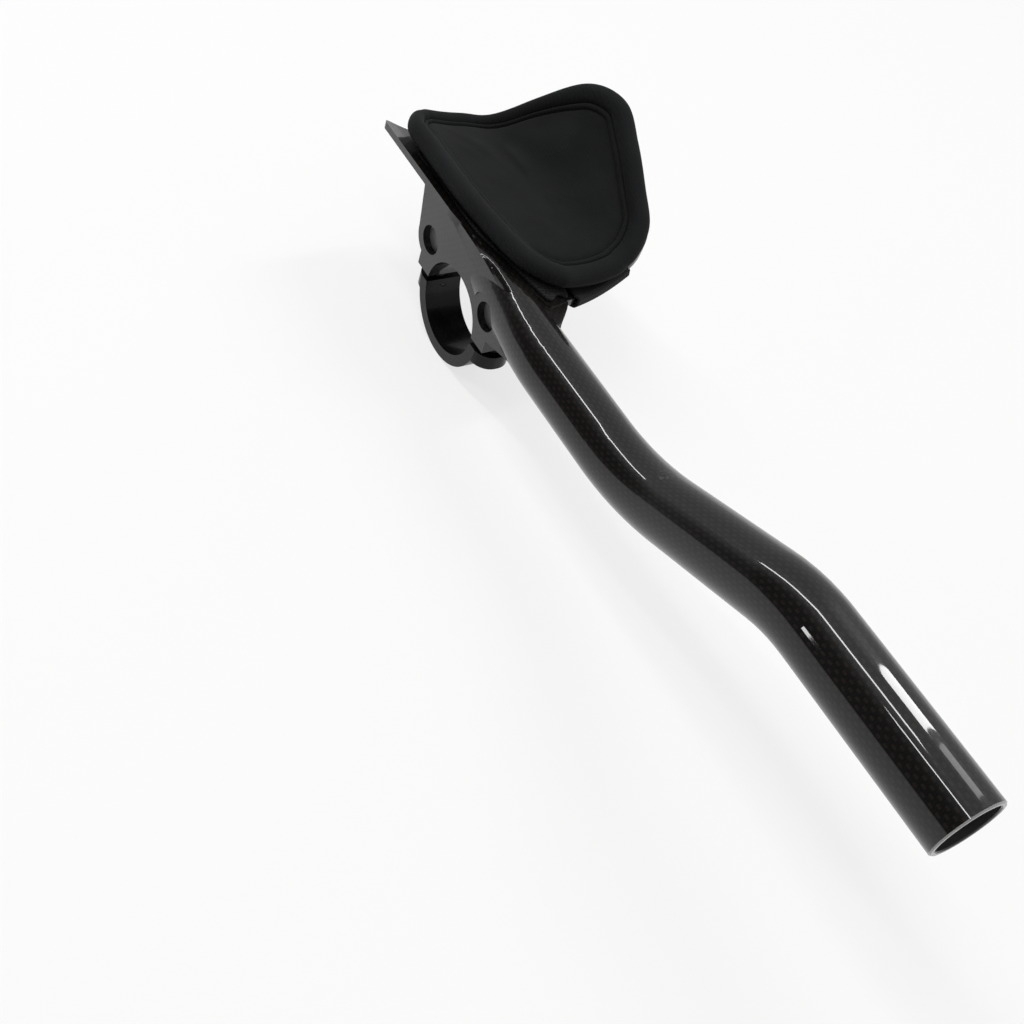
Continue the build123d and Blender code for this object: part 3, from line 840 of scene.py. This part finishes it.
def weave_strap(material):
    # Flat webbing with rounded edges and low weft ribs, laid round the tray. Its cut size comes with it.
    flat_columns, sealed_share, weld_reach = 17, 0.3, 0.02 * mm
    path = strap_run()
    half_width = strap_width / 2
    # Across the webbing: place and share of its thickness
    left = [(inset - half_width, share) for inset, share in selvedge]
    flat = np.linspace(flat_start - half_width, half_width - flat_start, flat_columns)
    columns = left + [(place, 1.0) for place in flat]
    columns += [(-place, share) for place, share in reversed(left)]
    middle = []
    for share, inward, lift, drawn in path:
        row = []
        for across, _ in columns:
            across -= drawn * math.copysign((abs(across) / half_width) ** draw_power, across)
            front_side, rear_side = (side + across for side in strap_sides)
            front = tray_edge(front_points, front_side) - inward
            rear = tray_edge(rear_points, rear_side) + inward
            x = front + (rear - front) * share
            y = front_side + (rear_side - front_side) * share
            row.append(trough_point(x, y, lift))
        middle.append(row)
    middle = np.array(middle)
    ahead = np.gradient(middle, axis=0)
    aside = np.gradient(middle, axis=1)
    out = np.cross(ahead, aside)
    out /= np.linalg.norm(out, axis=2)[:, :, None]
    steps = np.linalg.norm(np.diff(middle[:, len(columns) // 2], axis=0), axis=1)
    run = np.concatenate([[0.0], np.cumsum(steps)])
    shares = np.array([share for _, share in columns])
    ribs = weft_relief * np.sin(math.tau * run / (weft_pitch * mm))
    thick = (strap_half + ribs)[:, None] * shares * mm
    # The two ends are cut and sealed thin.
    thick[[0, -1]] *= sealed_share
    rows, wide = len(path), len(columns)
    points = list((middle + out * thick[:, :, None]).reshape(-1, 3))
    points += list((middle - out * thick[:, :, None]).reshape(-1, 3))
    back = rows * wide
    faces = []
    for row in range(rows - 1):
        for column in range(wide - 1):
            first = row * wide + column
            quad = (first, first + 1, first + wide + 1, first + wide)
            faces.append(quad[::-1])
            faces.append(tuple(corner + back for corner in quad))
    for column in range(wide - 1):
        for row, flip in ((0, True), (rows - 1, False)):
            first = row * wide + column
            quad = (first, first + 1, first + 1 + back, first + back)
            faces.append(quad if flip else quad[::-1])
    piece = build_mesh("webbing_strap", points, faces, material)
    lay = piece.data.uv_layers.new(name="webbing_lay")
    across = [place * mm for place, _ in columns]
    for loop in piece.data.loops:
        row, column = divmod(loop.vertex_index % back, wide)
        lay.data[loop.index].uv = (run[row], across[column])
    # The two faces meet along the selvedges.
    weld = piece.modifiers.new("selvedge", "WELD")
    weld.merge_threshold = weld_reach
    widths = np.linalg.norm(np.diff(middle, axis=1), axis=2).sum(axis=1)
    lengths = np.linalg.norm(np.diff(middle, axis=0), axis=2).sum(axis=0)
    return piece, (widths.mean(), lengths.mean())


def raise_hooks(outline, clear_of, material):
    # Rows of tiny nylon hooks on the part of the tape that the loop backing leaves bare.
    across_pitch, along_pitch, wire, sides = 1.6, 1.3, 0.11, 4
    hooked_share = 0.96
    # Bent line of one hook, ahead and up from its root, and its heading at each point
    stem = np.array([(0.0, -0.05), (0.03, 0.36), (0.18, 0.6), (0.36, 0.7), (0.5, 0.58), (0.53, 0.4)])
    heading = np.gradient(stem, axis=0)
    heading /= np.linalg.norm(heading, axis=1)[:, None]
    centre = outline.mean(axis=0)
    inside = centre + (outline - centre) * hooked_share
    points, faces = [], []

    def within(loop, x, y):
        after = np.roll(loop, -1, axis=0)
        crosses = (loop[:, 1] > y) != (after[:, 1] > y)
        spread = np.where(crosses, after[:, 1] - loop[:, 1], 1.0)
        meets = loop[:, 0] + (y - loop[:, 1]) * (after[:, 0] - loop[:, 0]) / spread
        return (crosses & (meets > x)).sum() % 2 == 1

    low, high = outline.min(axis=0), outline.max(axis=0)
    for row, x in enumerate(np.arange(low[0], high[0], along_pitch)):
        for across in np.arange(low[1] + 0.5 * across_pitch * (row % 2), high[1], across_pitch):
            if not within(inside, x, across) or within(clear_of, x, across):
                continue
            side = rolled(x, across)
            turned = -1.0 if row % 2 else 1.0
            first = len(points)
            for (ahead, up), (lean, rise) in zip(stem, heading):
                for corner in range(sides):
                    angle = math.tau * corner / sides
                    out = wire * math.sin(angle)
                    place = (x + turned * (ahead - rise * out), side + wire * math.cos(angle))
                    points.append(trough_point(*place, patch_lifts[1] + up + lean * out))
            hook = [tuple(first + corner for corner in reversed(range(sides)))]
            for level in range(len(stem) - 1):
                for corner in range(sides):
                    here = first + level * sides + corner
                    after = first + level * sides + (corner + 1) % sides
                    hook.append((here, after, after + sides, here + sides))
            hook.append(tuple(first + sides * (len(stem) - 1) + corner for corner in range(sides)))
            faces += hook if turned > 0 else [face[::-1] for face in hook]
    return build_mesh("tape_hooks", points, faces, material)


# Dress the part

finishes = {
    "extension_body": carbon_under_lacquer(),
    "clamp_cap": painted_cap(),
    "clamp_bolts": oxided_steel("screw_steel_black_oxide", "#3c3c3e", turned=0.4),
    # The nuts take the same blackened steel in a lighter grey than the screws: painted light that stands
    # in for the light on their faces, down in their recesses.
    "barrel_nuts": oxided_steel("nut_steel_black_oxide_painted_lighter", "#6e6e70", turned=0.6),
}
for name, finish in finishes.items():
    nodes[name].data.materials.clear()
    nodes[name].data.materials.append(finish)

pad = sew_pad(brushed_knit())
swell(pad, cap=1.6 * mm)
finer = pad.modifiers.new("finer", "SUBSURF")
finer.levels = 1
finer.render_levels = 1
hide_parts("arm_pad")

loop_cloth = black_cloth("nylon_loop_backing", "#0b0b0c", "#191919", pitch=0.9, slant=0.4, depth=0.08)
_, _, backing_edge = pad_outline(count=160, inset=4.0)
backing = cloth_layer("loop_backing", backing_edge, backing_lifts, loop_cloth)
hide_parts("pad_base")

hook_cloth = black_cloth("nylon_hook_tape", "#070707", "#1a1a1b", pitch=1.3, slant=0.0, depth=0.3)
# Plan of the tape: place along the tray and side
patch_plan = [
    (-43.7, -5.5),
    (-25.0, -5.5),
    (-0.5, -5.5),
    (12.0, -0.4),
    (24.0, 3.6),
    (31.4, 6.6),
    (28.2, 12.0),
    (28.1, 16.4),
    (8.0, 16.5),
    (-20.0, 16.5),
    (-43.7, 16.5),
    (-43.7, 5.0),
]
patch_edge = smooth_loop([(x, unrolled(x, y)) for x, y in patch_plan], count=120)
patch = cloth_layer("hook_tape", patch_edge, patch_lifts, hook_cloth)
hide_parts("hook_patch")
hooks = raise_hooks(patch_edge, backing_edge, hook_cloth)

webbing = black_cloth(
    "polyester_ribbed_webbing", "#08080a", "#1a1a1b", pitch=0.7, slant=0.8, depth=0.1, lay="webbing_lay"
)
strap, strap_cut = weave_strap(webbing)
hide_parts("pad_strap")

# Studio

floor_mesh = bpy.data.meshes.new("studio_floor")
floor_gap = 0.2 * mm
floor_level = cad_box[0][2] - floor_gap
# Half the floor's side, in metres
floor_half = 20.0
floor_mesh.from_pydata(
    [(x * floor_half, y * floor_half, floor_level) for x, y in ((-1, -1), (1, -1), (1, 1), (-1, 1))],
    [],
    [(0, 1, 2, 3)],
)
floor = bpy.data.objects.new("studio_floor", floor_mesh)
floor_mesh.materials.append(studio_paper())
bpy.context.scene.collection.objects.link(floor)

world = bpy.data.worlds.new("studio_room")
bpy.context.scene.world = world
world.use_nodes = True
room = world.node_tree
room.nodes.clear()
# The room is an even pale grey, with a dark patch above the horizon on the camera's side.
room_level, dark_level = 0.6, 0.04
dark_heading = (-0.2, -0.86, 0.47)
dark_from, dark_full = 0.6, 0.85
heading = add_node(room, "ShaderNodeTexCoord").outputs["Generated"]
toward = add_node(
    room, "ShaderNodeVectorMath", {0: heading, 1: dark_heading}, operation="DOT_PRODUCT"
).outputs["Value"]
shade = add_node(
    room,
    "ShaderNodeMapRange",
    {0: toward, 1: dark_from, 2: dark_full, 3: room_level, 4: dark_level},
    interpolation_type="SMOOTHSTEP",
).outputs[0]
sky = add_node(room, "ShaderNodeBackground", {"Color": linear("#ffffff"), "Strength": shade})
room_out = add_node(room, "ShaderNodeOutputWorld")
room.links.new(sky.outputs[0], room_out.inputs["Surface"])


def hang_lamp(name, place, size, power, turn):
    # A flat soft light: place and size in metres, power in watts.
    lamp = bpy.data.lights.new(name, "AREA")
    lamp.shape = "RECTANGLE"
    lamp.size, lamp.size_y = size
    lamp.energy = power
    holder = bpy.data.objects.new(name, lamp)
    holder.location = place
    holder.rotation_euler = turn
    bpy.context.scene.collection.objects.link(holder)


# Two strip lights face straight down, end past end, and draw the two thin lines on the tube.
strip_turn = (0.0, 0.0, math.radians(14))
hang_lamp("strip_overhead", (-0.73, -0.3, 1.05), size=(1.55, 0.06), power=7.0, turn=strip_turn)
hang_lamp("strip_beside", (0.25, -0.38, 1.05), size=(0.6, 0.05), power=2.2, turn=strip_turn)
# The windows and the small lamp stand square to the tube, and show on its end section.
tube_top = (-0.003, 0.056)
side_lamps = [
    ("window_beyond", (-0.065, 0.705, 0.98), (0.085, 0.55), 3.6),
    ("window_dim", (0.03, 0.66, 1.02), (0.07, 0.38), 0.4),
    ("lamp_beside", (-0.21, -1.14, 0.52), (0.03, 0.2), 0.38),
]
for name, place, size, power in side_lamps:
    facing = Vector((place[0], *tube_top)) - Vector(place)
    hang_lamp(name, place, size, power, turn=facing.to_track_quat("-Z", "Y").to_euler())

# The camera stands at the photograph's viewing angle, with its turns in degrees.
view_turns = (41.291, -14.445, 60.198)
eye = bpy.data.cameras.new("photo_view")
eye.sensor_width = 36.0
eye.lens = 47.065
eye.clip_start = 0.01
viewer = bpy.data.objects.new("photo_view", eye)
viewer.location = (0.28084, -0.22924, 0.29412)
viewer.rotation_euler = Euler([math.radians(turn) for turn in view_turns], "XYZ")
bpy.context.scene.collection.objects.link(viewer)
bpy.context.scene.camera = viewer
bpy.context.scene.view_settings.view_transform = "Standard"

bpy.context.view_layer.update()
